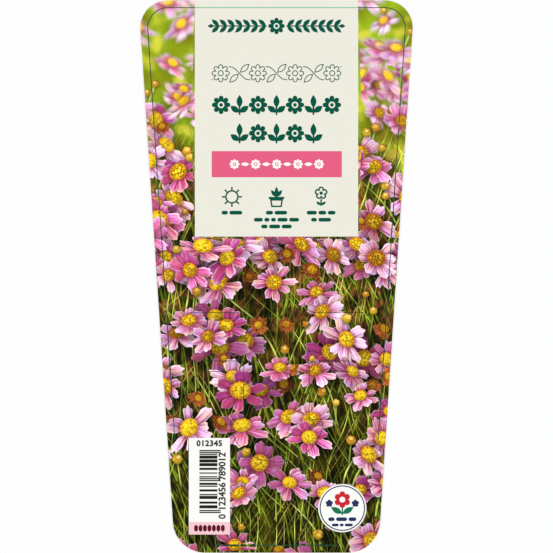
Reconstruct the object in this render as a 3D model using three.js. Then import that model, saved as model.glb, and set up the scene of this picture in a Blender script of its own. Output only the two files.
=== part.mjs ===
// A die-cut plastic plant label: one tapered sheet with rounded corners, and a tongue
// cut into its lower half that slips over the rim of a flowerpot.
// The label lies on its back. +X runs to the right across the printed front, +Y up the
// front, and +Z out of it. The origin is the centre of the back face. Millimetres.
import * as THREE from "three";

// The sheet
const height = 220;
const topWidth = 110; // between the two sides where they would meet the top edge
const bottomWidth = 81; // the same at the bottom edge
const topCornerRadius = 11;
const bottomCornerRadius = 13;
const thickness = 0.5;

// The tongue, whose root is joined to the sheet and whose rounded end is free
const tongueRootY = -33.6;
const tongueWidth = 26;
const neckLength = 23.2;
const shoulderReach = 5.3; // how far the end stands out past each side of the neck
const tongueEndY = -73.8;
const rootCornerRadius = 1.6;
const shoulderCornerRadius = 1.4;

// The straight cuts beside the tongue, each with a twin on the left
const rootCutEndX = 29; // the tongue's own cut runs on to here
const upperCut = { y: -14.4, fromX: 15.1, toX: 34.6 };
const lowerCut = { y: -37.8, fromX: 20.7, toX: 28.7 };

const cutWidth = 0.15;
const arcStep = Math.PI / 36; // the turn between two points of a rounded corner
const endStep = Math.PI / 48; // the same along the tongue's broad end
const capSteps = 6; // the sides of the half circle that closes a cut

const plastic = new THREE.MeshStandardMaterial({
  color: 0xf4f3ee,
  roughness: 0.45,
  metalness: 0,
});

// Points on a circle or an ellipse from one angle to another, both ends included.
function arcPoints(centre, radiusX, radiusY, fromAngle, toAngle, step) {
  const count = Math.max(2, Math.round(Math.abs(toAngle - fromAngle) / step));
  return Array.from({ length: count + 1 }, (_, i) => {
    const angle = THREE.MathUtils.lerp(fromAngle, toAngle, i / count);
    return new THREE.Vector2(
      centre.x + radiusX * Math.cos(angle),
      centre.y + radiusY * Math.sin(angle),
    );
  });
}

// The arc that rounds one corner of the sheet. The circle touches the horizontal edge
// at edgeY and the slanted side, whose outward normal is at sideAngle.
function cornerArc(edgeY, halfWidth, radius, sideAngle) {
  const up = Math.sign(edgeY);
  const centreY = edgeY - up * radius;
  const sideX = halfWidth + (centreY - edgeY) * Math.tan(-sideAngle);
  const centre = new THREE.Vector2(sideX - radius / Math.cos(sideAngle), centreY);
  return arcPoints(centre, radius, radius, sideAngle, (up * Math.PI) / 2, arcStep);
}

// The whole outline, anticlockwise from the right side's lower end.
function sheetOutline() {
  const slope = (topWidth - bottomWidth) / 2 / height;
  const sideAngle = -Math.atan(slope);
  const lower = cornerArc(-height / 2, bottomWidth / 2, bottomCornerRadius, sideAngle);
  const upper = cornerArc(height / 2, topWidth / 2, topCornerRadius, sideAngle);
  const right = [...lower.reverse(), ...upper];
  const left = mirrored(right);
  return new THREE.Shape([...right, ...left]);
}

// The points on the other side of the sheet, in the order that carries the line on.
function mirrored(points) {
  return points.map((p) => new THREE.Vector2(-p.x, p.y)).reverse();
}

// The line that the knife follows round the tongue, from the right end of its root cut
// to the left one.
function tongueLine() {
  const half = tongueWidth / 2;
  const shoulderY = tongueRootY - neckLength;
  const shoulderX = half + shoulderReach;
  const rootCorner = arcPoints(
    new THREE.Vector2(half + rootCornerRadius, tongueRootY - rootCornerRadius),
    rootCornerRadius,
    rootCornerRadius,
    Math.PI / 2,
    Math.PI,
    arcStep * 2,
  );
  const neckCorner = arcPoints(
    new THREE.Vector2(half + shoulderCornerRadius, shoulderY + shoulderCornerRadius),
    shoulderCornerRadius,
    shoulderCornerRadius,
    Math.PI,
    Math.PI * 1.5,
    arcStep * 2,
  );
  const shoulderCorner = arcPoints(
    new THREE.Vector2(shoulderX - shoulderCornerRadius, shoulderY - shoulderCornerRadius),
    shoulderCornerRadius,
    shoulderCornerRadius,
    Math.PI / 2,
    0,
    arcStep * 2,
  );
  const endTopY = shoulderY - shoulderCornerRadius;
  const end = arcPoints(
    new THREE.Vector2(0, endTopY),
    shoulderX,
    endTopY - tongueEndY,
    0,
    -Math.PI / 2,
    endStep,
  );
  const right = [
    new THREE.Vector2(rootCutEndX, tongueRootY),
    ...rootCorner,
    ...neckCorner,
    ...shoulderCorner.slice(0, -1),
    ...end,
  ];
  return [...right, ...mirrored(right).slice(1)];
}

// The thin closed outline of a cut that follows a line, with a half circle at each end.
function cutOutline(line) {
  const radius = cutWidth / 2;
  const last = line.length - 1;
  const direction = (i) => {
    const before = line[Math.max(i - 1, 0)];
    const after = line[Math.min(i + 1, last)];
    return after.clone().sub(before).normalize();
  };
  const side = (sign) =>
    line.map((point, i) => {
      const along = direction(i);
      const before = line[Math.max(i - 1, 0)];
      const arriving = i === 0 ? along : point.clone().sub(before).normalize();
      const mitre = radius / Math.max(along.dot(arriving), 0.5);
      return new THREE.Vector2(
        point.x - sign * along.y * mitre,
        point.y + sign * along.x * mitre,
      );
    });
  const cap = (i, turn) => {
    const along = direction(i);
    const start = Math.atan2(along.y, along.x) + turn;
    const round = arcPoints(line[i], radius, radius, start, start - Math.PI, Math.PI / capSteps);
    return round.slice(1, -1);
  };
  return new THREE.Path([
    ...side(1),
    ...cap(last, Math.PI / 2),
    ...side(-1).reverse(),
    ...cap(0, -Math.PI / 2),
  ]);
}

// A straight cut and its twin.
function cutPair({ y, fromX, toX }) {
  return [1, -1].map((side) =>
    cutOutline([new THREE.Vector2(side * fromX, y), new THREE.Vector2(side * toX, y)]),
  );
}

const sheet = sheetOutline();
sheet.holes = [cutOutline(tongueLine()), ...cutPair(upperCut), ...cutPair(lowerCut)];

const labelCard = new THREE.Mesh(
  new THREE.ExtrudeGeometry(sheet, { depth: thickness, bevelEnabled: false, steps: 1 }),
  plastic,
);
labelCard.name = "label_card";

const group = new THREE.Group();
group.add(labelCard);

export default group;
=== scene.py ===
import math
import random
from types import SimpleNamespace

import bmesh
import bpy
import numpy as np
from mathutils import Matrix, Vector, geometry


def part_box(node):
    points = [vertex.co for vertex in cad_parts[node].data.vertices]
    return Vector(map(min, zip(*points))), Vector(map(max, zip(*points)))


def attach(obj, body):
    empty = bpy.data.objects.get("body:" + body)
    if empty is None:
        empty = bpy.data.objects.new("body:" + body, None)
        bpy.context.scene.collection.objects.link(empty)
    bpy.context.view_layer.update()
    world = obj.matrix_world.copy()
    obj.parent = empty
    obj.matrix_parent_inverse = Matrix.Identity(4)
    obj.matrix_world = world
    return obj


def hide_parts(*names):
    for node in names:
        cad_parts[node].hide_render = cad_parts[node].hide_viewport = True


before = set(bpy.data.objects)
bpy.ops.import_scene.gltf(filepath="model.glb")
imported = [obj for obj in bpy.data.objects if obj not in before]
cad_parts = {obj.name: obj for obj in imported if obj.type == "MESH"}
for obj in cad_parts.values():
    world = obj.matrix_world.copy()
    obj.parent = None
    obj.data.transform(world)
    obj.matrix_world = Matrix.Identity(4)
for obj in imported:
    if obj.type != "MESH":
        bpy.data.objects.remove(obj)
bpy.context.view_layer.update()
mm = 0.001
print("frame loaded")


# Node formulas: a Signal is a socket that ordinary arithmetic can use.
# Colours travel as vectors, so that no node has to turn one kind of socket into another.

class Signal:
    def __init__(self, tree, socket):
        self.tree = tree
        self.socket = socket

    def __add__(self, other):
        return calc("ADD", self, other)

    def __radd__(self, other):
        return calc("ADD", other, self)

    def __sub__(self, other):
        return calc("SUBTRACT", self, other)

    def __rsub__(self, other):
        return calc("SUBTRACT", other, self)

    def __mul__(self, other):
        return calc("MULTIPLY", self, other)

    def __rmul__(self, other):
        return calc("MULTIPLY", other, self)

    def __truediv__(self, other):
        return calc("DIVIDE", self, other)

    def __rtruediv__(self, other):
        return calc("DIVIDE", other, self)

    def __pow__(self, other):
        return calc("POWER", self, other)

    def __abs__(self):
        return calc("ABSOLUTE", self)


def plug(tree, slot, value):
    if isinstance(value, Signal):
        tree.links.new(value.socket, slot)
    else:
        slot.default_value = value


def addNode(kind, values, slots, **settings):
    tree = next(value.tree for value in values if isinstance(value, Signal))
    node = tree.nodes.new(kind)
    for name, setting in settings.items():
        setattr(node, name, setting)
    for slot, value in zip(slots, values):
        plug(tree, node.inputs[slot], value)
    return [Signal(tree, out) for out in node.outputs]


def calc(operation, *values):
    return addNode("ShaderNodeMath", values, range(3), operation=operation)[0]


def sine(angle):
    return calc("SINE", angle)


def cosine(angle):
    return calc("COSINE", angle)


def hypotenuse(x, y):
    return calc("SQRT", x * x + y * y)


def ramp(low, high, value):  # 0 at low, 1 at high, smooth between; low may be the larger
    slots = ("From Min", "From Max", "Value")
    settings = {"interpolation_type": "SMOOTHSTEP", "clamp": False}  # it stays within 0 and 1 by itself
    return addNode("ShaderNodeMapRange", (low, high, value), slots, **settings)[0]


def between(share, first, second):
    return first + share * (second - first)


def blend(share, first, second):  # the same for colours
    return addNode("ShaderNodeMix", (share, first, second), (0, 4, 5), data_type="VECTOR")[1]


def scaled(tone, amount):
    return addNode("ShaderNodeVectorMath", (tone, amount), ("Vector", "Scale"), operation="SCALE")[0]


def tinted(tone, cast):
    return addNode("ShaderNodeVectorMath", (tone, cast), (0, 1), operation="MULTIPLY")[0]


def parts(vector):
    return addNode("ShaderNodeSeparateXYZ", (vector,), (0,))


def chance(x, y, z):  # four even random numbers that belong to three others
    key = x * 12.9898 + y * 78.233 + z * 37.719
    value, tone = addNode("ShaderNodeTexWhiteNoise", (key,), ("W",), noise_dimensions="1D")
    red, green, blue = addNode("ShaderNodeSeparateColor", (tone,), (0,))
    return red, green, blue, calc("FRACT", value * 317.7 + green * 91.3)


def scatter(x, y):  # one such number
    return calc("FRACT", sine(x * 12.9898 + y * 78.233) * 4375.85)


def cloud(place, size, detail=2.0):  # soft noise, its patches about as wide as size, in millimetres
    values = (place, 1 / (size * mm), detail)
    return addNode("ShaderNodeTexNoise", values, ("Vector", "Scale", "Detail"))[0]


def ink(red, green, blue):  # display values of 0 to 255 as a linear colour
    shares = [value / 255 for value in (red, green, blue)]
    return tuple(s / 12.92 if s <= 0.04045 else ((s + 0.055) / 1.055) ** 2.4 for s in shares)


def newGroup(name, vectors, numbers, outVectors=(), outNumbers=()):
    tree = bpy.data.node_groups.new(name, "ShaderNodeTree")
    for titles, way, kind in ((vectors, "INPUT", "Vector"), (numbers, "INPUT", "Float"),
                              (outVectors, "OUTPUT", "Vector"), (outNumbers, "OUTPUT", "Float")):
        for title in titles:
            tree.interface.new_socket(title, in_out=way, socket_type=f"NodeSocket{kind}")
    entry = tree.nodes.new("NodeGroupInput")
    return tree, [Signal(tree, entry.outputs[title]) for title in (*vectors, *numbers)]


def closeGroup(tree, *values):
    out = tree.nodes.new("NodeGroupOutput")
    for slot, value in zip(out.inputs, values):
        plug(tree, slot, value)


def use(group, *values):
    return addNode("ShaderNodeGroup", values, range(len(values)), node_tree=group)


# The printed meadow, with its sizes in millimetres. Each blossom is drawn by formula round a place
# that the sheet's faces carry.

meadow = {
    "seed": 157,
    "blossoms": 214,
    "field": (-58, -117, 58, 117),  # where they stand: left, bottom, right, top
    "radius": (8.8, 13.2),
    "farShare": 0.72,  # of that size, at the top of the picture
    "apart": 5.0,
    "clumping": 0.55,
    "depthPlay": 14.0,  # how far out of their order by height one may lie over another
    "crowding": ((-94, 0.12), (-76, 0.20), (-34, 0.29), (-16, 0.28), (-1, 0.26), (28, 0.95), (46, 0.46),
                 (61, 0.25), (90, 1.40), (120, 0.38)),  # how readily one takes root, up to each height
    "blossomLayers": 7,  # how many may lie over one spot
    "buds": 54,
    "budField": (-56, -108, 56, 112),
    "budRadius": (1.5, 2.3),
    "budLayers": 4,
    "texture": 1.1,  # the size of the picture's fine unevenness
    "stemReach": 13.0,
    "tile": 2.0,  # the side of the small faces that carry the places
    "tiles": (28, 56),  # how many there are to each side of the middle, across and upwards
    "leafLayers": (  # dark, light, turn, column, length, half width as a share of the column, share there
        ("night", "moss", 0.10, 2.4, 24.0, 0.36, 0.70),
        ("shade", "fresh", -0.42, 2.2, 20.0, 0.26, 0.50),
        ("shade", "grass", 0.46, 2.4, 22.0, 0.24, 0.55),
        ("moss", "straw", -0.50, 2.6, 24.0, 0.15, 0.42),
        ("moss", "grass", 0.26, 2.2, 21.0, 0.22, 0.55),
        ("grass", "lime", 0.56, 3.2, 22.0, 0.13, 0.42),
        ("grass", "lime", -0.16, 3.0, 26.0, 0.14, 0.55),
    ),
    "dryFrom": -96.0,  # withered stalks fill more of the ground from this height up
    "dryTo": 14.0,
    "stalks": {"layer": 3, "share": 0.28},  # they lie on this layer of leaves
    "withering": {"layer": 5, "share": 0.80},  # and up to this one the leaves wither too
    "farFrom": 26.0,  # the leaves turn to soft light above this height
    "farTo": 72.0,
    "hazeFrom": 42.0,  # and the blossoms grow soft above this one
    "hazeTo": 92.0,
    "sunAngle": 2.2,  # where its light comes from
}
petalInk = {
    "pale": ink(255, 216, 228),
    "rose": ink(244, 134, 182),
    "deep": ink(210, 72, 142),
    "lilac": ink(212, 120, 180),
    "plum": ink(164, 62, 122),
    "throat": ink(190, 56, 92),
    "withered": ink(182, 98, 46),
    "warmCast": (1.05, 0.99, 0.66),  # what one petal's light or another's does to its colour
    "coolCast": (0.95, 0.98, 1.32),
}
discInk = {
    "yellow": ink(255, 216, 42),
    "amber": ink(240, 136, 26),
    "rust": ink(158, 76, 18),
    "spot": ink(112, 54, 8),
}
budInk = {
    "skin": ink(232, 152, 46),
    "fresh": ink(238, 198, 48),
    "cap": ink(255, 232, 120),
    "fold": ink(140, 62, 20),
    "foot": ink(128, 132, 44),
}
leafInk = {
    "night": ink(42, 34, 3),
    "shade": ink(72, 68, 6),
    "moss": ink(114, 122, 16),
    "fresh": ink(122, 162, 40),
    "grass": ink(156, 184, 46),
    "lime": ink(218, 232, 124),
    "straw": ink(222, 178, 96),
    "rusty": ink(140, 90, 38),
    "ochre": ink(206, 140, 66),
    "farShade": ink(132, 136, 16),
    "farLeaf": ink(158, 192, 30),
    "farLight": ink(222, 222, 66),
    "dryCast": (1.42, 0.80, 1.50),  # what it does to the leaves when they wither
}
sunX, sunY = math.cos(meadow["sunAngle"]), math.sin(meadow["sunAngle"])


def hazeAt(height):
    return ramp(meadow["hazeFrom"], meadow["hazeTo"], height)


petalForm = {  # lengths are shares of the blossom's size
    "wander": 0.54,  # how far the petals' headings stray, in radians
    "bow": 0.26,  # how far they bow to one side
    "length": (0.54, 1.0),
    "halfWidth": (0.160, 0.262),
    "foot": 0.46,  # how wide one starts, as a share of its full width
    "notch": 0.085,  # how deep its tip is notched
    "fineVeins": 58.0,  # radians of wave to a blossom's size
    "broadVeins": 26.0,
    "veinDepth": 0.16,
    "witheredShare": 0.21,  # of all blossoms
    "witheredLength": 0.34,  # of the length that their petals had
}


def petalRing(ring, flower):
    # One ring of four petals; two rings, half a step apart, make the eight of a blossom.
    pitch = math.pi / 2
    number = calc("ROUND", flower.angle / pitch - 0.5 * ring)
    axis = (number + 0.5 * ring) * pitch
    which = calc("FLOORED_MODULO", number, 4.0)
    key = flower.x + which * 13.1, flower.y - which * 7.7, flower.size + ring * 3.7
    turn, longer, wider, bright = chance(*key)
    heading = axis + (turn - 0.5) * petalForm["wander"]
    along = flower.reach * cosine(flower.angle - heading)
    aside = flower.reach * sine(flower.angle - heading)
    aside += along * along * (bright - 0.5) * petalForm["bow"]
    length = between(longer ** 0.5, *petalForm["length"])
    length *= between(flower.petals, petalForm["witheredLength"], 1.0)
    halfWidth = between(wider, *petalForm["halfWidth"])
    swell = between(ramp(0.10, 0.74, along / length), petalForm["foot"], 1.0)
    side = aside / (halfWidth * swell)
    lobes = (0.5 - 0.5 * cosine(side * 6.0 + turn * 1.6)) * flower.sharp
    onward = along / (length * (1.0 - petalForm["notch"] * lobes))
    tip = calc("MAXIMUM", (onward - 0.60) / 0.40, 0.0)
    inside = 1.0 - (abs(side) ** 3.0 + tip ** 3.0) ** 0.333
    rough = (0.26 - 0.20 * flower.petals) * flower.sharp
    inside += sine(along * 19.0 + side * 2.0 + bright * 11.0) * rough
    return SimpleNamespace(
        aside=aside, along=along, side=side, onward=onward, inside=inside, turn=turn, bright=bright,
        facing=heading - flower.spin + flower.tiltWay)


def petalTone(petal, flower):
    sunward = meadow["sunAngle"] - petal.facing
    lit = petal.side * sine(sunward) * 0.24 - cosine(sunward) * 0.16
    fine = sine(petal.aside * petalForm["fineVeins"] + petal.turn * 9.0)
    broad = sine(petal.aside * petalForm["broadVeins"] + petal.along * 2.0 + petal.bright * 9.0)
    veins = (fine + broad) * ramp(1.10, 0.30, petal.onward) * flower.sharp
    crease = cosine(petal.side * 5.6 + petal.bright) * 0.12 * flower.sharp
    light = (1.0 + lit + crease) * between(petal.bright, 0.79, 1.19) - veins * petalForm["veinDepth"]
    mottle = sine(petal.aside * 44.0)
    mottle *= sine(petal.along * 37.0 + petal.turn * 9.0)
    light += mottle * (1.0 - flower.petals) * 0.5  # the shrivelled heads are rough
    rim = ramp(0.30, 0.04, petal.inside)
    tipward = ramp(0.35, 1.05, petal.onward)
    pale = tipward * 0.42 + rim * 0.52 + lit * 0.9 + crease - veins * 0.24
    pale = pale + petal.bright * 0.34 + flower.pallor - flower.hidden
    tone = blend(pale, flower.mid, petalInk["pale"])
    drift = sine(petal.along * 8.0 + petal.side * 2.4 + petal.bright * 11.0)
    cool = petal.turn * 0.56 + drift * 0.26 - flower.sharp * 0.22 + 0.50
    tone = tinted(tone, blend(cool, petalInk["warmCast"], petalInk["coolCast"]))
    tone = blend(ramp(0.60, 0.26, petal.along) * 0.60, tone, petalInk["throat"])
    dried = scaled(petalInk["withered"], between(flower.pallor, 0.45, 1.10))
    tone = blend(flower.petals, dried, tone)
    return scaled(tone, light * flower.strength)


discForm = {
    "radius": (0.275, 0.345),  # as a share of the blossom's size
    "withered": 0.50,  # of that radius, on the withered heads
    "rows": 4.1,  # of florets, from the middle to the rim
    "underside": 0.45,  # how dark the petals are where they run in under it
}


def discTone(flower, up, across, reach):
    # florets in offset rows, each one a dot a little out of place
    dome = discForm["rows"] * calc("MINIMUM", reach, 1.0) ** 0.2
    across *= dome
    row = calc("FLOOR", across)
    up = up * dome + row * 0.5
    column = calc("FLOOR", up)
    shiftUp, shiftAcross, picked, _ = chance(row + flower.x, column + flower.y, flower.size)
    offUp = up - column - 0.34 - shiftUp * 0.32
    offAcross = across - row - 0.34 - shiftAcross * 0.32
    near = hypotenuse(offUp, offAcross)
    ripe = flower.ripe
    tone = blend(ramp(0.42, 1.00, reach) * between(ripe, 0.55, 1.0), discInk["yellow"], discInk["amber"])
    tone = blend(ramp(0.80, 0.98, ripe) * 0.55, tone, discInk["rust"])
    tone = blend(between(flower.petals, 0.5, 0.0), tone, discInk["rust"])
    tone = scaled(tone, between(ramp(0.10, 0.55, near), 1.36, 0.70))
    speckle = ramp(0.48, 0.28, near) * calc("GREATER_THAN", picked, between(ripe, 0.74, 0.26) + up * 0.05)
    speckle = speckle * ramp(0.97, 0.76, reach) * flower.sharp
    return blend(speckle * between(ripe, 0.70, 1.0), tone, discInk["spot"])


def withDisc(drawn, flower):
    # the domed disc of florets, with a dark ring where the petals run in under it
    haze, squash = flower.haze, flower.squash
    radius = between(flower.discSize, *discForm["radius"])
    radius = radius * between(flower.petals, discForm["withered"], 1.0) * (1.0 + haze * 0.18)
    up = (flower.uphill - 0.20 * (squash - 1.0)) * (squash * 0.55 + 0.45) / radius
    aside = flower.across / radius
    reach = hypotenuse(up, aside)
    underside = discForm["underside"] * ramp(1.40, 0.95, reach) * (1.0 - 0.5 * haze)
    drawn = scaled(drawn, 1.0 - underside)
    sunward = (flower.offX * sunX + flower.offY * sunY) / radius
    light = (1.06 + 0.24 * sunward) * (1.0 - 0.38 * ramp(0.70, 1.02, reach))
    light *= flower.strength * 0.7 + 0.3
    florets = scaled(discTone(flower, up, aside, reach), light)
    ragged = sine(flower.angle * 17.0) * 0.05
    return blend(ramp(1.02 + haze * 0.50, 0.92 - haze * 0.70, reach + ragged), drawn, florets)


def headGroup(name, last):
    numbers = ("X", "Y", "HeadX", "HeadY", "Size", last)
    return newGroup(name, ("Below",), numbers, ("Picture",))


def makeBlossom():
    tree, (below, placeX, placeY, x, y, size, strength) = headGroup("blossom", "Tone")
    offX, offY = (placeX - x) / size, (placeY - y) / size
    aim, tilt, spin, pallor = chance(x, y, size)
    hue, discSize, ripe, bare = chance(y, size, x)
    haze = hazeAt(y)

    # the blossom leans one way, which foreshortens it, and more so in the far part
    tiltWay = math.pi / 2 + (aim - 0.5) * 2.0
    cosWay, sinWay = cosine(tiltWay), sine(tiltWay)
    uphill = offX * cosWay + offY * sinWay
    across = offY * cosWay - offX * sinWay
    squash = 1.0 / (0.97 - 0.42 * tilt - haze * (0.34 - 0.16 * tilt))
    flat = uphill * squash
    petals = calc("GREATER_THAN", bare, petalForm["witheredShare"])  # 0 on the withered heads
    spin = spin * math.tau
    flower = SimpleNamespace(
        x=x, y=y, size=size, strength=strength, offX=offX, offY=offY, uphill=uphill, across=across,
        tiltWay=tiltWay, squash=squash, spin=spin, pallor=pallor, petals=petals, ripe=ripe,
        discSize=discSize, haze=haze,
        sharp=1.0 - haze,
        reach=hypotenuse(flat, across),
        angle=calc("ARCTAN2", across, flat) + spin,
        hidden=1.58 - strength + 0.07 * ramp(-20.0, -70.0, y) - 0.06 * haze,
    )
    mid = blend(ramp(0.10, 0.90, hue), petalInk["rose"], petalInk["deep"])
    mid = blend(ramp(0.50, 0.95, calc("FRACT", hue * 7.3)) * 0.8, mid, petalInk["lilac"])
    flower.mid = blend(1.04 - strength, mid, petalInk["plum"])
    lower, upper = petalRing(0, flower), petalRing(1, flower)

    # its soft shadow on what lies below, moved away from the light
    shadeX, shadeY = offX + 0.10 * sunX, offY + 0.10 * sunY
    shadeReach = calc("SQRT", shadeX * shadeX + shadeY * shadeY * squash)
    shade = ramp(1.05, 0.40, shadeReach) * between(petals, 0.3, 1.0) * (0.60 - 0.40 * haze)
    drawn = scaled(below, 1.0 - shade)

    softFrom, softTo = haze * -0.90, 0.06 + haze * 0.80
    underUpper = ramp(-0.35, 0.10, upper.inside)
    lowerTone = scaled(petalTone(lower, flower), 1.0 - 0.42 * underUpper)
    drawn = blend(ramp(softFrom, softTo, lower.inside), drawn, lowerTone)
    drawn = blend(ramp(softFrom, softTo, upper.inside), drawn, petalTone(upper, flower))
    closeGroup(tree, withDisc(drawn, flower))
    return tree


def makeStem():
    tree, (below, placeX, placeY, x, y, size, lean) = headGroup("stem", "Lean")
    haze = hazeAt(y)
    down = y - placeY
    aside = placeX - x - lean * down * (1.0 + down * 0.02)
    reach = ramp(0.0, 1.0, down) * ramp(meadow["stemReach"], meadow["stemReach"] * 0.45, down)
    shaded = scaled(below, 1.0 - ramp(1.0, 0.2, abs(aside - 0.25)) * reach * 0.35)
    onStem = ramp(0.34 + haze * 0.5, 0.16, abs(aside)) * reach
    tone = blend(scatter(x, y), leafInk["grass"], leafInk["lime"])
    closeGroup(tree, blend(onStem * 0.9, shaded, scaled(tone, (1.0 - aside * 0.9) * (0.75 + size * 0.1))))
    return tree


def makeBud():
    tree, (below, placeX, placeY, x, y, size, lean) = headGroup("bud", "Lean")
    offX, offY = (placeX - x) / size, (placeY - y) / size
    ripe, hue, turn, opened = chance(x, y, size)
    haze = hazeAt(y)
    old = ramp(0.54, 0.78, hue) * (1.0 - 0.8 * haze)  # the old ones are brown and shrivelled
    around = calc("ARCTAN2", offY + 0.2, offX - lean)
    folds = sine(around * 7.0 + turn * 9.0) * 0.6 + sine(around * 3.0 + ripe * 9.0) * 0.4
    reach = calc("SQRT", offX * offX * between(turn, 0.95, 1.35) + offY * offY)
    reach *= 1.0 - folds * between(old, 0.05, 0.16)
    capX, capY = offX + sunX * 0.12 - lean * 0.8, offY - 0.34
    cap = calc("SQRT", capX * capX + capY * capY * 1.6)
    skin = blend(ripe, budInk["skin"], budInk["fresh"])
    skin = blend(ramp(0.30, 0.95, reach) * (0.25 + 0.45 * old) - folds * 0.25, skin, budInk["fold"])
    skin = blend(ramp(0.0, -0.9, offY) * 0.6, skin, budInk["foot"])
    sunward = offX * sunX + offY * sunY
    light = (0.98 + 0.30 * sunward) * (1.0 - 0.45 * ramp(0.62, 1.0, reach)) * (1.0 - old * 0.25)
    skin = scaled(skin, light)
    skin = blend(ramp(0.62, 0.30, cap) * (0.90 - 0.60 * old), skin, budInk["cap"])
    ring = ramp(0.30, 0.44, cap) * ramp(0.72, 0.54, cap) * ramp(0.35, 0.50, opened)
    skin = blend(ring * 0.55, skin, budInk["fold"])
    shadeX, shadeY = offX + 0.25 * sunX, offY + 0.25 * sunY
    shade = ramp(1.55, 0.80, hypotenuse(shadeX, shadeY)) * (0.55 - 0.35 * haze)
    onBud = ramp(1.0 + haze * 0.45, 0.88 - haze * 0.60, reach)
    closeGroup(tree, blend(onBud, scaled(below, 1.0 - shade), skin))
    return tree


def makeBlades():
    # A mass of narrow leaves: columns of long tapering blades that lean and bow by chance.
    tree, (below, dark, light, placeX, placeY, turn, column, length, half, share, seed) = newGroup(
        "blades", ("Below", "Dark", "Light"),
        ("X", "Y", "Turn", "Column", "Length", "Half", "Share", "Seed"), ("Picture",))
    cosTurn, sinTurn = cosine(turn), sine(turn)
    across = placeX * cosTurn + placeY * sinTurn
    upward = placeY * cosTurn - placeX * sinTurn
    sway = sine(across * 0.071 + seed * 2.3)
    bow = sine(upward * 0.063 + sway * 1.4 + seed) * 2.6
    bow += sine(upward * 0.021 - sway + seed * 3.1) * 6.0
    bow += sine(upward * 0.21 + across * 0.13 + seed * 1.7) * 0.5
    across = (across + bow) / column
    number = calc("FLOOR", across)
    step = upward / length + scatter(number, seed) * 17.0
    row = calc("FLOOR", step)
    rise = step - row
    middle, tint, wide, there = chance(number, row, seed)
    off = across - number - 0.5 - (middle - 0.5) * 0.5 - (tint - 0.5) * 0.5 * rise
    halfHere = half * between(wide, 0.45, 1.0) * (1.02 - rise ** 3.0)
    distance = abs(off)
    onBlade = ramp(halfHere, halfHere * 0.60, distance) * ramp(0.0, 0.05, rise)
    onBlade *= calc("LESS_THAN", there, share)
    under = scaled(below, 1.0 - ramp(halfHere * 2.8, halfHere, distance) * 0.34)
    tone = blend(tint * between(rise, 0.4, 1.0), dark, light)
    shine = between(ramp(halfHere * -0.4, halfHere * 0.4, off), 1.15, 0.74) * between(rise, 0.66, 1.10)
    tone = scaled(tone, shine)
    closeGroup(tree, blend(onBlade, under, tone))
    return tree


def carried(tree, name):  # the four numbers that the sheet's faces carry under a name
    node = tree.nodes.new("ShaderNodeAttribute")
    node.attribute_type = "GEOMETRY"
    node.attribute_name = name
    return [*parts(Signal(tree, node.outputs["Vector"])), Signal(tree, node.outputs["Alpha"])]


def meadowPicture(place):
    tree = place.tree
    blossom, bud, stem, blades = makeBlossom(), makeBud(), makeStem(), makeBlades()
    x, y = [part * (1 / mm) for part in parts(place)[:2]]
    blotch, glow = cloud(place, 18.0, 1.5), cloud(place, 9.0, 1.0)
    picture = blend(ramp(0.35, 0.65, blotch), leafInk["night"], leafInk["shade"])
    dry = blend(ramp(0.36, 0.62, cloud(place, 2.6)), leafInk["rusty"], leafInk["ochre"])
    tufts = ramp(0.44, 0.58, cloud(place, 6.0)) * ramp(meadow["dryFrom"], meadow["dryTo"], y)
    stalks, withering = meadow["stalks"], meadow["withering"]
    for number, (darker, lighter, *sizes) in enumerate(meadow["leafLayers"], 1):
        picture = use(blades, picture, leafInk[darker], leafInk[lighter], x, y, *sizes, float(number))[0]
        if number == stalks["layer"]:
            picture = blend(tufts * stalks["share"], picture, dry)
        if number == withering["layer"]:
            picture = blend(tufts * withering["share"], picture, tinted(picture, leafInk["dryCast"]))
    light = between(ramp(0.34, 0.64, glow), 0.50, 1.75) * between(ramp(0.0, 34.0, y), 1.0, 1.45)
    picture = scaled(picture, light)
    far = blend(ramp(0.35, 0.62, blotch), leafInk["farShade"], leafInk["farLeaf"])
    far = blend(ramp(0.50, 0.72, glow), far, leafInk["farLight"])
    picture = blend(ramp(meadow["farFrom"], meadow["farTo"], y), picture, far)
    for group, head in ((stem, "bud"), (blossom, "blossom"), (bud, "bud")):
        for layer in reversed(range(meadow[f"{head}Layers"])):
            picture = use(group, picture, x, y, *carried(tree, f"{head}{layer}"))[0]
    texture = cloud(place, meadow["texture"]) - 0.5
    return scaled(picture, 1.0 + texture * between(hazeAt(y), 0.70, 0.20))


# Materials: the picture and one for each ink, under a satin varnish, and the bare plastic

finish = {
    "roughness": 0.42,
    "roughnessPlay": 0.18,
    "grainSize": 1.1,
    "grainDepth": 0.004,
    "grainStrength": 0.35,
    "specular": 0.05,
}
inks = {
    "cream": ink(236, 235, 222),
    "white": ink(251, 251, 247),
    "green": ink(0, 85, 65),
    "fineGreen": ink(40, 90, 75),
    "rose": ink(231, 97, 133),
    "guide": ink(104, 194, 146),
    "guideOver": ink(34, 78, 62),
    "black": ink(35, 31, 32),
    "maroon": ink(96, 16, 36),
    "blush": ink(248, 205, 210),
    "navy": ink(34, 52, 96),
    "red": ink(205, 40, 52),
    "leaf": ink(24, 118, 84),
}
# The dark colour for the cuts' walls is painted shade, standing in for the shade inside a closed slit;
# the plastic itself is white.
plastic = {"colour": ink(246, 245, 240), "roughness": 0.55, "cutShadeColour": ink(58, 54, 40)}


def makeGrain():
    tree, (place, roughness) = newGroup("grain", ("Place",), ("Roughness",), (), ("Roughness", "Height"))
    fine = cloud(place, finish["grainSize"], 3.0)
    broad = cloud(place, 20.0)
    uneven = (fine + broad - 1.0) * 0.5 * finish["roughnessPlay"]
    closeGroup(tree, roughness + uneven, fine * 0.7 + broad * 0.3)
    return tree


grain = makeGrain()


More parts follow.
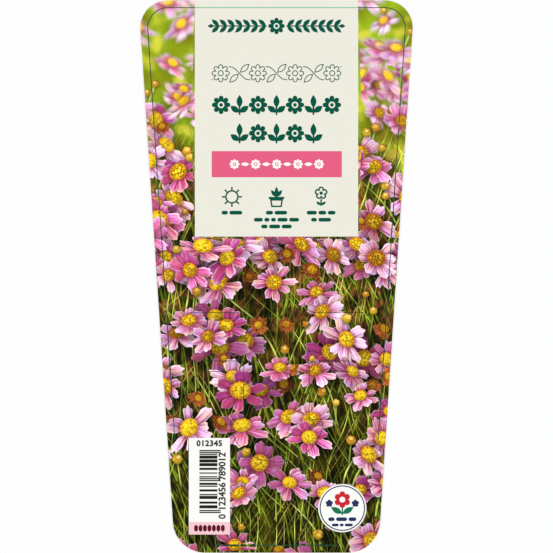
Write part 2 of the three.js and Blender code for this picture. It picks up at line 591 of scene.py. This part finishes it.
def newMaterial(name, tone, roughness):
    material = bpy.data.materials.new(name)
    material.use_nodes = True
    shader = material.node_tree.nodes["Principled BSDF"]
    shader.inputs["Base Color"].default_value = (*tone, 1.0)
    shader.inputs["Roughness"].default_value = roughness
    shader.inputs["Specular IOR Level"].default_value = finish["specular"]
    return material


def surface(material):  # its shader, and the place in the sheet's own frame
    tree = material.node_tree
    place = Signal(tree, tree.nodes.new("ShaderNodeTexCoord").outputs["Object"])
    return tree.nodes["Principled BSDF"], place


def addGrain(shader, place, roughness):
    tree = place.tree
    uneven, height = use(grain, place, roughness)
    plug(tree, shader.inputs["Roughness"], uneven)
    bump = tree.nodes.new("ShaderNodeBump")
    bump.inputs["Strength"].default_value = finish["grainStrength"]
    bump.inputs["Distance"].default_value = finish["grainDepth"] * mm
    plug(tree, bump.inputs["Height"], height)
    tree.links.new(bump.outputs["Normal"], shader.inputs["Normal"])


def makePicture():
    material = newMaterial("meadow picture", leafInk["moss"], finish["roughness"])
    shader, place = surface(material)
    plug(place.tree, shader.inputs["Base Color"], meadowPicture(place))
    addGrain(shader, place, finish["roughness"])
    return material


def makeInk(name, tone):
    material = newMaterial(f"{name} ink", tone, finish["roughness"])
    addGrain(*surface(material), finish["roughness"])
    return material


def makeBack():
    material = newMaterial("bare plastic", plastic["colour"], plastic["roughness"])
    shader, place = surface(material)
    drift = blend(cloud(place, 25.0), plastic["colour"], inks["cream"])
    speck = 1.0 + (cloud(place, 0.6) - 0.5) * 0.05
    plug(place.tree, shader.inputs["Base Color"], scaled(drift, speck))
    addGrain(shader, place, plastic["roughness"])
    return material


slots = ["picture", *inks, "back", "edge", "cut"]
materials = [makePicture(), *(makeInk(name, tone) for name, tone in inks.items()), makeBack(),
             newMaterial("cut edge", plastic["colour"], plastic["roughness"]),
             # the last one is painted shade: the cuts' walls made dark, as the shade inside a closed slit
             newMaterial("closed cut painted shade", plastic["cutShadeColour"], plastic["roughness"])]
print("materials made")


# Outlines, in millimetres. A shape is one or more closed loops, and is filled wherever an odd number
# of them lies round.

def circle(x, y, radius, steps=32):
    return [(x + radius * math.cos(math.tau * i / steps), y + radius * math.sin(math.tau * i / steps))
            for i in range(steps)]


def rectangle(left, bottom, right, top):
    return [(left, bottom), (right, bottom), (right, top), (left, top)]


def pill(left, right, y, height, steps=6):
    radius = height / 2
    ends = ((right - radius, -math.pi / 2), (left + radius, math.pi / 2))
    turns = [(x, start + math.pi * i / steps) for x, start in ends for i in range(steps + 1)]
    return [(x + radius * math.cos(turn), y + radius * math.sin(turn)) for x, turn in turns]


def leafShape(x, y, length, width, angle, steps=8):
    # pointed at both ends, with its stalk end at x, y
    rising = [(length * i / steps, width / 2 * math.sin(math.pi * i / steps)) for i in range(steps + 1)]
    around = [(along, -aside) for along, aside in rising] + rising[-2:0:-1]
    cosAngle, sinAngle = math.cos(angle), math.sin(angle)
    return [(x + along * cosAngle - aside * sinAngle, y + along * sinAngle + aside * cosAngle)
            for along, aside in around]


def lozenge(x, y, halfWidth, halfHeight):  # six-sided, with a point at the top and the bottom
    turns = [math.tau * i / 6 + math.pi / 2 for i in range(6)]
    return [(x + halfWidth * math.cos(turn), y + halfHeight * math.sin(turn)) for turn in turns]


def rosette(x, y, radius, lobes, depth, steps=12):
    # a flower's outline: round lobes with notches between them
    count = lobes * steps
    loop = []
    for i in range(count):
        angle = math.tau * i / count + math.pi / 2
        reach = radius * (1 - depth + depth * abs(math.cos(lobes * math.pi * i / count)) ** 0.6)
        loop.append((x + reach * math.cos(angle), y + reach * math.sin(angle)))
    return loop


def offset(loop, distance, closed=True):  # to the left of the way it runs
    points = np.array(loop, float)
    before = points - np.roll(points, 1, axis=0)
    after = np.roll(points, -1, axis=0) - points
    if not closed:
        before[0], after[-1] = after[0], before[-1]
    before /= np.linalg.norm(before, axis=1)[:, None]
    after /= np.linalg.norm(after, axis=1)[:, None]
    middle = before + after
    middle /= np.linalg.norm(middle, axis=1)[:, None]
    stretch = np.maximum((middle * after).sum(axis=1), 0.4)
    left = np.column_stack((-middle[:, 1], middle[:, 0]))
    return points + left * (distance / stretch)[:, None]


def stroke(points, width):
    return [*offset(points, width / 2, False), *offset(points, -width / 2, False)[::-1]]


def outlined(loop, width):  # drawn with a pen: two loops, the second inside the first
    return [loop, offset(loop, width)]


def edgesOf(loop):
    return [(loop[i - 1], loop[i]) for i in range(len(loop))]


# What lies on the picture, in the order of printing: ink, edges, ink where it crosses the cream
printed = []


def paint(name, *loops, onCream=None):
    printed.append((name, [edge for loop in loops for edge in edgesOf(loop)], onCream or name))


def paintDigits(body, height, x, y, weight, angle=0.0, spacing=1.0):
    curve = bpy.data.curves.new("digits", "FONT")
    curve.body = body
    curve.size = height / 0.73  # the built-in face's digits are this share of the size
    curve.align_x = curve.align_y = "CENTER"
    curve.space_character = spacing
    curve.resolution_u = 3
    curve.offset = weight
    holder = bpy.data.objects.new("digits", curve)
    mesh = bpy.data.meshes.new_from_object(holder)
    bm = bmesh.new()
    bm.from_mesh(mesh)
    cosAngle, sinAngle = math.cos(angle), math.sin(angle)
    edges = [[(x + v.co.x * cosAngle - v.co.y * sinAngle, y + v.co.x * sinAngle + v.co.y * cosAngle)
              for v in edge.verts] for edge in bm.edges if edge.is_boundary]
    bm.free()
    bpy.data.objects.remove(holder)
    bpy.data.meshes.remove(mesh)
    bpy.data.curves.remove(curve)
    printed.append(("black", edges, "black"))


# The sheet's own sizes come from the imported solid

low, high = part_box("label_card")
sheet = {
    "thickness": high.z / mm,
    "top": high.y / mm,
    "bottom": low.y / mm,
    "left": low.x / mm,
    "right": high.x / mm,
    "edgeBevel": 0.07,
    "guideInset": 3.0,  # the fine printed line inside the edge
    "guidePen": 0.36,
    "guideEnd": -65.2,  # its sides run down to here
    "guideFoot": 24.0,  # half the length of its stretch along the bottom
    # the width of the dark line round each cut, which is painted shade of the slit
    "cutShadePen": 0.06,
    "cutClosing": 0.06,  # how far each wall of a cut comes in
    "cutDepth": 0.14,
    "mapShare": 0.94,  # of the texture map's width, for the front
}


# The information panel, with plain ornaments and pictograms

panel = {
    "half": 32.5,
    "bottom": 15.9,
    "garland": {"y": 99.7, "half": 25.8, "pen": 0.5, "leaves": 7, "first": 4.2, "pitch": 3.1,
                "leaf": (4.0, 1.7), "lastLeaf": (2.6, 1.5), "leafTurn": 0.72, "flower": 3.3},
    "fineRow": {"y": 80.9, "half": 25.9, "pen": 0.36, "count": 7, "radius": 3.6, "heart": 1.2,
                "wave": 2.6, "waveSteps": 140, "leaf": (5.2, 2.3), "leafTurn": 0.75},
    "boldRows": ({"y": 68.3, "height": 8.0, "count": 7, "pitch": 7.35, "first": 0},
                 {"y": 57.0, "height": 8.0, "count": 5, "pitch": 7.35, "first": 1}),
    "strap": {"left": -25.8, "right": 26.0, "bottom": 39.5, "top": 49.9, "pitch": 4.2, "count": 9},
    "icons": {"y": 31.7, "sunX": -17.75, "potX": 0.0, "flowerX": 17.75, "pen": 0.62},
    "captionRows": (25.4, 22.6, 19.9),
    "captionWidths": {"sunX": (8.3,), "potX": (8.5, 18.0, 12.2), "flowerX": (11.5, 8.0)},
    "captionHeight": 1.5,
    "captionSeed": 3,
}


def paintDaisy(name, x, y, radius, heart):
    paint(name, rosette(x, y, radius, 8, 0.34))
    paint(heart, circle(x, y, radius * 0.36, 20))
    paint(name, circle(x, y, radius * 0.20, 14))


def paintSprout(name, x, y, height):  # three leaves on a short stalk
    foot = y - height / 2
    paint(name, stroke([(x, foot), (x, y)], height * 0.09))
    for turn, rise, length in ((0.0, 0.34, 0.66), (0.95, 0.12, 0.56), (-0.95, 0.12, 0.56)):
        start = foot + height * rise
        paint(name, leafShape(x, start, height * length, height * 0.30, math.pi / 2 + turn))


def paintGarland():
    spec = panel["garland"]
    y, half, radius = spec["y"], spec["half"], spec["flower"]
    paint("green", stroke([(-half, y), (half, y)], spec["pen"]))
    for side in (-1, 1):
        outward = 0.0 if side > 0 else math.pi
        for number in range(spec["leaves"]):
            x = side * (spec["first"] + number * spec["pitch"])
            for up in (-1, 1):
                paint("green", leafShape(x, y, *spec["leaf"], outward + side * up * spec["leafTurn"]))
        paint("green", leafShape(side * (half - 1.0), y, *spec["lastLeaf"], outward))
    paint("cream", circle(0.0, y, radius + 0.6))
    paintDaisy("green", 0.0, y, radius, "cream")


def paintFineRow():
    spec = panel["fineRow"]
    y, half, pen, count, steps = spec["y"], spec["half"], spec["pen"], spec["count"], spec["waveSteps"]
    wave = [(-half + 2 * half * i / steps, y - spec["wave"] * math.cos(math.pi * count * i / steps))
            for i in range(steps + 1)]
    paint("fineGreen", stroke(wave, pen))
    for number in range(count):
        x = (number - (count - 1) / 2) * 2 * half / count
        if number % 2:
            for turn in (spec["leafTurn"], spec["leafTurn"] - math.pi):
                leaf = leafShape(x + 0.3 * math.cos(turn), y + 0.3 * math.sin(turn), *spec["leaf"], turn)
                paint("fineGreen", *outlined(leaf, pen))
        else:
            paint("cream", circle(x, y, spec["radius"] + 0.45))
            paint("fineGreen", *outlined(rosette(x, y, spec["radius"], 8, 0.30, 8), pen))
            paint("fineGreen", *outlined(circle(x, y, spec["heart"], 20), pen))


def paintBoldRow(spec):
    for number in range(spec["count"]):
        x = (number - (spec["count"] - 1) / 2) * spec["pitch"]
        if (number + spec["first"]) % 2:
            paintSprout("green", x, spec["y"], spec["height"])
        else:
            paintDaisy("green", x, spec["y"], spec["height"] * 0.46, "cream")


def paintStrap():
    spec = panel["strap"]
    paint("rose", rectangle(spec["left"], spec["bottom"], spec["right"], spec["top"]))
    y = (spec["bottom"] + spec["top"]) / 2
    for number in range(spec["count"]):
        x = (number - (spec["count"] - 1) / 2) * spec["pitch"] + 0.1
        if number % 2:
            paint("white", leafShape(x - 1.7, y, 3.4, 1.5, 0.0))
        else:
            paintDaisy("white", x, y, 2.0, "rose")


def paintSun(x, y, pen):
    paint("green", *outlined(circle(x, y, 2.7), pen))
    for number in range(8):
        angle = math.tau * number / 8
        ray = [(x + reach * math.cos(angle), y + reach * math.sin(angle)) for reach in (2.6, 4.0)]
        paint("green", stroke(ray, pen))


def paintPot(x, y, pen):
    top = y - 0.9
    pot = [(x - 2.1, top - 3.2), (x + 2.1, top - 3.2), (x + 2.6, top), (x - 2.6, top)]
    paint("green", *outlined(pot, pen))
    paint("green", rectangle(x - 3.1, top, x + 3.1, top + 0.9))
    for turn, length in ((0.0, 4.2), (0.66, 3.6), (-0.66, 3.6)):
        paint("green", leafShape(x, top + 0.8, length, 1.5, math.pi / 2 + turn))


def paintFlower(x, y, pen):
    paint("green", stroke([(x, y - 3.6), (x, y)], pen))
    for side in (-1, 1):
        paint("green", leafShape(x, y - 3.3, 2.4, 1.1, math.pi / 2 + side * 0.95))
    paint("cream", circle(x, y + 1.5, 2.4))
    paint("green", *outlined(rosette(x, y + 1.5, 2.6, 5, 0.26), pen))
    paint("green", circle(x, y + 1.5, 0.7, 14))


def paintDashes(name, left, right, y, height, draw):
    # a caption's place holds a row of short dashes
    x = left
    while x < right - height:
        end = min(x + draw.uniform(1.3, 3.0) * height, right)
        if right - end < height * 1.6:
            end = right
        paint(name, pill(x, end, y, height))
        x = end + 0.38 * height


def paintPanel():
    half = panel["half"]
    paint("cream", rectangle(-half, panel["bottom"], half, sheet["top"] + 1))
    paintGarland()
    paintFineRow()
    for spec in panel["boldRows"]:
        paintBoldRow(spec)
    paintStrap()
    icons = panel["icons"]
    paintSun(icons["sunX"], icons["y"], icons["pen"])
    paintPot(icons["potX"], icons["y"], icons["pen"])
    paintFlower(icons["flowerX"], icons["y"], icons["pen"])
    draw = random.Random(panel["captionSeed"])
    for icon, widths in panel["captionWidths"].items():
        x = icons[icon]
        for y, width in zip(panel["captionRows"], widths):
            paintDashes("green", x - width / 2, x + width / 2, y, panel["captionHeight"], draw)


# The code patch, which reads upwards

patch = {
    "left": -34.9,
    "right": -18.5,
    "bottom": -102.7,
    "top": -64.3,
    "stripTop": -97.7,
    "codeSeed": 11,
    "codeFrom": -94.1,
    "codeTo": -69.1,
    "barLeft": -30.7,
    "barRight": -23.5,
    "guardRight": -22.2,
    "guard": (1, 1, 1),
    "halfRuns": 15,  # spaces and bars by turns in each half of the code
    "widths": (1, 1, 2, 2, 3),
    "inkGain": 0.07,  # what the ink spreads past each bar
    "digits": "0123456789012",
    "digitX": -21.5,
    "digitHeight": 2.8,
    "digitPitch": 1.85,
    "digitWeight": 0.11,
    "firstDigit": -0.058,  # its place, as a share of the code's length
    "digitGroups": (0.26, 0.74),  # and the middles of the two groups
    "title": {"digits": "012345", "height": 2.3, "y": -66.5, "weight": 0.14, "spacing": 1.1},
    "lozenges": {"count": 7, "pitch": 1.78, "halfSize": (0.88, 1.5)},
}


def codeRuns():  # bars and spaces by turns, in modules, with the long guard bars
    draw = random.Random(patch["codeSeed"])
    runs, longOnes = [*patch["guard"]], {0, 2}
    for _ in range(2):
        runs += [draw.choice(patch["widths"]) for _ in range(patch["halfRuns"])]
        longOnes |= {len(runs), len(runs) + 2}
        runs += patch["guard"]
    return runs, longOnes


def paintBars():
    runs, longOnes = codeRuns()
    bottom, gain = patch["codeFrom"], patch["inkGain"]
    module = (patch["codeTo"] - bottom) / sum(runs)
    for number, run in enumerate(runs):
        if number % 2 == 0:
            end = patch["guardRight"] if number in longOnes else patch["barRight"]
            paint("black", rectangle(patch["barLeft"], bottom - gain, end, bottom + run * module + gain))
        bottom += run * module


def paintNumber():  # one digit before the bars, then two groups of six beside them
    length = patch["codeTo"] - patch["codeFrom"]
    shares = [patch["firstDigit"]]
    for centre in patch["digitGroups"]:
        shares += [centre + (i - 2.5) * patch["digitPitch"] / length for i in range(6)]
    for digit, share in zip(patch["digits"], shares):
        y = patch["codeFrom"] + share * length
        paintDigits(digit, patch["digitHeight"], patch["digitX"], y, patch["digitWeight"], math.pi / 2)


def paintPatch():
    left, right = patch["left"], patch["right"]
    paint("white", rectangle(left, patch["bottom"], right, patch["top"]))
    paint("blush", rectangle(left, patch["bottom"], right, patch["stripTop"]))
    paintBars()
    paintNumber()
    middle, title, strip = (left + right) / 2, patch["title"], patch["lozenges"]
    paintDigits(title["digits"], title["height"], middle, title["y"], title["weight"],
                spacing=title["spacing"])
    y = (patch["bottom"] + patch["stripTop"]) / 2
    for number in range(strip["count"]):
        x = middle + (number - (strip["count"] - 1) / 2) * strip["pitch"]
        paint("maroon", lozenge(x, y, *strip["halfSize"]))


# The round badge, with a plain sprig

badge = {"x": 26.2, "y": -92.2, "radius": 9.6, "ringInset": 0.55, "pen": 0.45, "dashSeed": 8}


def paintBadge():
    x, y, radius = badge["x"], badge["y"], badge["radius"]
    paint("white", circle(x, y, radius, 72))
    paint("navy", *outlined(circle(x, y, radius - badge["ringInset"], 72), badge["pen"]))
    paint("leaf", stroke([(x, y - 2.8), (x, y + 3.0)], 0.6))
    for side in (-1, 1):
        paint("leaf", leafShape(x, y - 2.2, 5.2, 2.3, math.pi / 2 + side * 1.05))
    paint("red", rosette(x, y + 3.4, 3.3, 6, 0.30))
    paint("white", circle(x, y + 3.4, 1.15, 20))
    for side in (-1, 1):
        paint("navy", rosette(x + side * 5.2, y + 1.9, 1.5, 5, 0.30, 8))
    draw = random.Random(badge["dashSeed"])
    paintDashes("navy", x - 5.6, x + 5.6, y - 4.4, 1.5, draw)
    paintDashes("navy", x - 4.2, x + 4.2, y - 6.7, 1.1, draw)


def paintGuide(outer):
    end = sheet["guideEnd"]
    inner = [tuple(point) for point in offset(outer, sheet["guideInset"])]
    first = next(i for i in range(len(inner)) if inner[i - 1][1] < end <= inner[i][1])
    inner = inner[first - 1:] + inner[:first - 1]
    upper = [point for point in inner if point[1] > end]

    def meet(below, above):
        share = (end - below[1]) / (above[1] - below[1])
        return below[0] + share * (above[0] - below[0]), end

    line = [meet(inner[0], upper[0]), *upper, meet(inner[len(upper) + 1], upper[-1])]
    paint("guideOver", stroke(line, sheet["guidePen"]), onCream="guide")
    foot, half = sheet["bottom"] + sheet["guideInset"], sheet["guideFoot"]
    paint("guideOver", stroke([(-half, foot), (half, foot)], sheet["guidePen"]))


def loopsRound(triangles):  # the directed edges that only one triangle has, chained
    sides = {(t[i], t[(i + 1) % 3]) for t in triangles for i in range(3)}
    ahead = {start: end for start, end in sides if (end, start) not in sides}
    loops = []
    while ahead:
        first, at = ahead.popitem()
        loop = [first]
        while at != first:
            loop.append(at)
            at = ahead.pop(at)
        loops.append(loop)
    return loops


def area(loop):
    x, y = np.array(loop, float).T
    return float((x * np.roll(y, -1) - y * np.roll(x, -1)).sum()) / 2


def solidOutline():
    bm = bmesh.new()
    bm.from_mesh(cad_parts["label_card"].data)
    bmesh.ops.remove_doubles(bm, verts=bm.verts, dist=0.001 * mm)
    bmesh.ops.triangulate(bm, faces=bm.faces)
    bm.verts.index_update()
    bm.verts.ensure_lookup_table()
    top = [[v.index for v in face.verts] for face in bm.faces
           if min(v.co.z for v in face.verts) > (sheet["thickness"] - 0.01) * mm]
    loops = [[(bm.verts[i].co.x / mm, bm.verts[i].co.y / mm) for i in loop] for loop in loopsRound(top)]
    bm.free()
    return sorted(loops, key=area, reverse=True)  # the outer one first, then the cuts


def oddInside(places, edges):
    x, y = places.T
    odd = np.zeros(len(places), bool)
    for (x1, y1), (x2, y2) in edges:
        if y1 != y2:
            odd ^= ((y1 > y) != (y2 > y)) & (x < (x2 - x1) * (y - y1) / (y2 - y1) + x1)
    return odd


def triangulated(lines, extra=()):
    # lines are pairs of points that have to be edges; the extra points only make the triangles smaller
    number = {}

    def numbered(x, y):
        return number.setdefault((round(float(x), 5), round(float(y), 5)), len(number))

    pairs = [[numbered(*point) for point in pair] for pair in lines]
    pairs = [pair for pair in pairs if pair[0] != pair[1]]
    for point in extra:
        numbered(*point)
    points = [Vector(point) for point in number]
    found, _, triangles, *_ = geometry.delaunay_2d_cdt(points, pairs, [], 0, 1e-6)
    return np.array([tuple(point) for point in found]), np.array(triangles)


def inkOf(centres):
    chosen = np.zeros(len(centres), int)
    for name, edges, onCream in printed:
        corners = np.array(edges, float).reshape(-1, 2)
        within = (centres > corners.min(axis=0)) & (centres < corners.max(axis=0))
        near = np.flatnonzero(within.all(axis=1))
        near = near[oddInside(centres[near], edges)]
        overCream = chosen[near] == slots.index("cream")
        chosen[near] = np.where(overCream, slots.index(onCream), slots.index(name))
    return chosen


def fraction(value, low, high):  # 0 at low, 1 at high; low may be the larger
    return min(max((value - low) / (high - low), 0), 1)


def somewhere(draw, field):
    left, bottom, right, top = field
    return draw.uniform(left, right), draw.uniform(bottom, top)


def growMeadow():
    # blossoms and buds, each with its place, its size and a fourth number, the nearest first
    draw = random.Random(meadow["seed"])
    blossoms = []
    while len(blossoms) < meadow["blossoms"]:
        x, y = somewhere(draw, meadow["field"])
        clump = math.sin(x * 0.11 + 1.3) * math.sin(y * 0.09 + 0.6) + 0.5 * math.sin(x * 0.05 - y * 0.07)
        wanted = next(share for top, share in meadow["crowding"] if y < top)
        if draw.random() > wanted * (1 + meadow["clumping"] * clump):
            continue
        afar = 1 - (1 - meadow["farShare"]) * fraction(y, 20, 90)
        if any(math.dist((x, y), b[:2]) < meadow["apart"] * afar for b in blossoms):
            continue
        radius = draw.uniform(*meadow["radius"]) * afar
        blossoms.append((x, y, radius, y + draw.uniform(-meadow["depthPlay"], meadow["depthPlay"])))
    blossoms.sort(key=lambda b: b[3])
    toned = []
    for i, (x, y, radius, _) in enumerate(blossoms):
        above = sum(math.dist((x, y), b[:2]) < (radius + b[2]) * 0.72 for b in blossoms[:i])
        shade = 0.08 - 0.055 * fraction(y, -20, 20)
        foot = 0.27 * fraction(y, -66, -100)  # the lowest ones are in the shade
        toned.append((x, y, radius, max(0.58, 1.06 - shade * above) - foot))
    buds = []
    while len(buds) < meadow["buds"]:
        x, y = somewhere(draw, meadow["budField"])
        if all(math.dist((x, y), b[:2]) > b[2] * 0.55 for b in blossoms):
            buds.append((x, y, draw.uniform(*meadow["budRadius"]), draw.uniform(-0.35, 0.35)))
    return toned, sorted(buds, key=lambda b: b[1])


def blossomReach(centres, head):
    distance = np.hypot(centres[:, 0] - head[0], centres[:, 1] - head[1])
    return distance < head[2] * 1.15 + meadow["tile"] * 0.7


def budReach(centres, head):
    offX, offY = centres[:, 0] - head[0], centres[:, 1] - head[1]
    down = np.clip(-offY, 0, meadow["stemReach"])
    across = np.abs(offX - head[3] * down * (1 + down * 0.02))
    margin = head[2] * 1.6 + meadow["tile"] * 0.7
    return (across < margin) & (offY < margin) & (offY > -meadow["stemReach"] - margin)


def carryHeads(mesh, name, heads, layers, centres, reach):
    # each face gets the nearest heads that can reach it, and a far-off one in each place left over
    chosen = np.tile(np.array([9999.0, 9999.0, 1.0, 1.0]), (layers, len(centres), 1))
    filled = np.zeros(len(centres), int)
    for head in heads:
        reached = np.flatnonzero(reach(centres, head) & (filled < layers))
        chosen[filled[reached], reached] = head
        filled[reached] += 1
    for layer in range(layers):
        attribute = mesh.attributes.new(f"{name}{layer}", "FLOAT_COLOR", "FACE")
        attribute.data.foreach_set("color", chosen[layer].ravel())


def mapSheet(mesh, wear):
    # the front fills most of the map, the back a narrow strip beside it
    starts, counts, corners = (np.empty(len(items), np.int32) for items in
                               (mesh.polygons, mesh.polygons, mesh.loops))
    mesh.polygons.foreach_get("loop_start", starts)
    mesh.polygons.foreach_get("loop_total", counts)
    mesh.loops.foreach_get("vertex_index", corners)
    places = np.empty(len(mesh.vertices) * 3, np.float32)
    mesh.vertices.foreach_get("co", places)
    places = places.reshape(-1, 3)[corners] / mm
    worn = np.repeat(np.array(wear), counts)
    across = (places[:, 0] - sheet["left"]) / (sheet["right"] - sheet["left"])
    upward = (places[:, 1] - sheet["bottom"]) / (sheet["top"] - sheet["bottom"])
    share = sheet["mapShare"]
    across = np.where(worn == slots.index("back"), 1 - (1 - share) * 0.8 * across, across * share)
    across[worn >= slots.index("edge")] = share + (1 - share) * 0.1
    mapping = mesh.uv_layers.new(name="OFBake")
    mapping.uv.foreach_set("vector", np.column_stack((across, upward)).astype(np.float32).ravel())


def printSheet(outer, cuts):
    paintPanel()
    # a dark line round each cut: painted shade of the slit
    for cut in cuts:
        paint("guideOver", cut, offset(cut, sheet["cutShadePen"]))
    paintGuide(outer)
    paintPatch()
    paintBadge()


def divideFront(outline):
    # its triangles follow the outline and every printed edge
    tile, (columns, rows) = meadow["tile"], meadow["tiles"]
    grid = [(x * tile, y * tile) for x in range(-columns, columns + 1) for y in range(-rows, rows + 1)]
    points, triangles = triangulated(outline + [edge for _, edges, _ in printed for edge in edges], grid)
    triangles = triangles[oddInside(points[triangles].mean(axis=1), outline)]
    used, triangles = np.unique(triangles, return_inverse=True)
    triangles = triangles.reshape(-1, 3)
    print("front divided into", len(triangles), "faces")
    return points[used], triangles


def addSides(points, vertices, faces, wear):
    # the bevelled edge, and the walls of the cuts, which come together below the surface; the cuts' walls
    # wear a dark colour, painted shade of the closed slit
    bevel, thickness = sheet["edgeBevel"], sheet["thickness"]
    lowest = []
    for loop in sorted(loopsRound(faces), key=lambda around: area(points[around]), reverse=True):
        flat = points[loop]
        closed = offset(flat, -sheet["cutClosing"])
        # the cuts' walls take the dark slot, painted shade of the slit
        rings, side = [(closed, thickness - sheet["cutDepth"]), (closed, 0.0)], "cut"
        if not lowest:
            wide = offset(flat, -bevel)
            rings, side = [(wide, thickness - bevel), (wide, bevel), (flat, 0.0)], "edge"
        above = loop
        for ring, height in rings:
            below = list(range(len(vertices), len(vertices) + len(ring)))
            vertices += [(x, y, height) for x, y in ring]
            faces += [(above[i - 1], below[i - 1], below[i], above[i]) for i in range(len(loop))]
            wear += [slots.index(side)] * len(loop)
            above = below
        lowest.append(above)
    return lowest


def addBack(lowest, vertices, faces, wear):
    # it is made of the sides' own lowest points
    numbers = [i for ring in lowest for i in ring]
    places = np.array([vertices[i][:2] for i in numbers])
    edges = [edge for ring in lowest for edge in edgesOf([vertices[i][:2] for i in ring])]
    points, triangles = triangulated(edges)
    inner = oddInside(points[triangles].mean(axis=1), edges)
    named = [numbers[np.hypot(*(places - point).T).argmin()] for point in points]
    faces += [tuple(named[i] for i in reversed(triangle)) for triangle in triangles[inner].tolist()]
    wear += [slots.index("back")] * int(inner.sum())


def buildSheet():
    outer, *cuts = solidOutline()
    printSheet(outer, cuts)
    outline = [edge for loop in (offset(outer, sheet["edgeBevel"]), *cuts) for edge in edgesOf(loop)]
    points, triangles = divideFront(outline)
    vertices = [(x, y, sheet["thickness"]) for x, y in points]
    faces = [tuple(triangle) for triangle in triangles.tolist()]
    wear = list(inkOf(points[triangles].mean(axis=1)))
    addBack(addSides(points, vertices, faces, wear), vertices, faces, wear)

    mesh = bpy.data.meshes.new("plantLabel")
    mesh.from_pydata([(x * mm, y * mm, z * mm) for x, y, z in vertices], [], faces)
    for material in materials:
        mesh.materials.append(material)
    mesh.polygons.foreach_set("material_index", np.array(wear, np.int32))
    middles = np.empty(len(faces) * 3, np.float32)
    mesh.polygons.foreach_get("center", middles)
    middles = middles.reshape(-1, 3)[:, :2] / mm
    blossoms, buds = growMeadow()
    carryHeads(mesh, "blossom", blossoms, meadow["blossomLayers"], middles, blossomReach)
    carryHeads(mesh, "bud", buds, meadow["budLayers"], middles, budReach)
    mapSheet(mesh, wear)
    mesh.update()
    label = bpy.data.objects.new("plantLabel", mesh)
    bpy.context.collection.objects.link(label)
    return label


label = buildSheet()
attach(label, "root")
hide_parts("label_card")
print("label built:", len(label.data.polygons), "faces")


# The floor, the light and the camera

studio = {
    "floor": 8.0,  # metres along a side
    "floorTone": 0.97,
    "floorRoughness": 0.7,
    "floorHeight": -0.0001,  # a hair below the label's back
    "world": 0.80,
    "lampAcross": 1.2,
    "lampHeight": 1.2,
    "lampSize": 1.0,
    "lampPower": 4.9,
    "lens": 85.0,
    "sensor": 36.0,
    "view": 0.2201,  # metres of the label's face that the picture's side takes in
}


def makeFloor():
    half, tone = studio["floor"] / 2, studio["floorTone"]
    corners = [(x, y, studio["floorHeight"]) for x, y in rectangle(-half, -half, half, half)]
    mesh = bpy.data.meshes.new("floor")
    mesh.from_pydata(corners, [], [(0, 1, 2, 3)])
    mesh.materials.append(newMaterial("floor", (tone, tone, tone), studio["floorRoughness"]))
    floor = bpy.data.objects.new("floor", mesh)
    bpy.context.collection.objects.link(floor)


def makeLamp(side):
    lamp = bpy.data.lights.new("lamp", "AREA")
    lamp.size = studio["lampSize"]
    lamp.energy = studio["lampPower"]
    holder = bpy.data.objects.new("lamp", lamp)
    holder.location = (side * studio["lampAcross"], 0.0, studio["lampHeight"])
    holder.rotation_euler = holder.location.to_track_quat("Z", "Y").to_euler()
    bpy.context.collection.objects.link(holder)


def makeWorld():
    world = bpy.data.worlds.new("studio")
    world.use_nodes = True
    background = world.node_tree.nodes["Background"]
    background.inputs["Color"].default_value = (1.0, 1.0, 1.0, 1.0)
    background.inputs["Strength"].default_value = studio["world"]
    bpy.context.scene.world = world


def makeCamera():
    camera = bpy.data.cameras.new("camera")
    camera.lens = studio["lens"]
    camera.sensor_width = studio["sensor"]
    holder = bpy.data.objects.new("camera", camera)
    distance = studio["view"] * studio["lens"] / studio["sensor"]
    holder.location = (0.0, 0.0, sheet["thickness"] * mm + distance)
    bpy.context.collection.objects.link(holder)
    bpy.context.scene.camera = holder


makeFloor()
makeLamp(-1)
makeLamp(1)
makeWorld()
makeCamera()
bpy.context.scene.view_settings.view_transform = "Standard"
print("stage set")
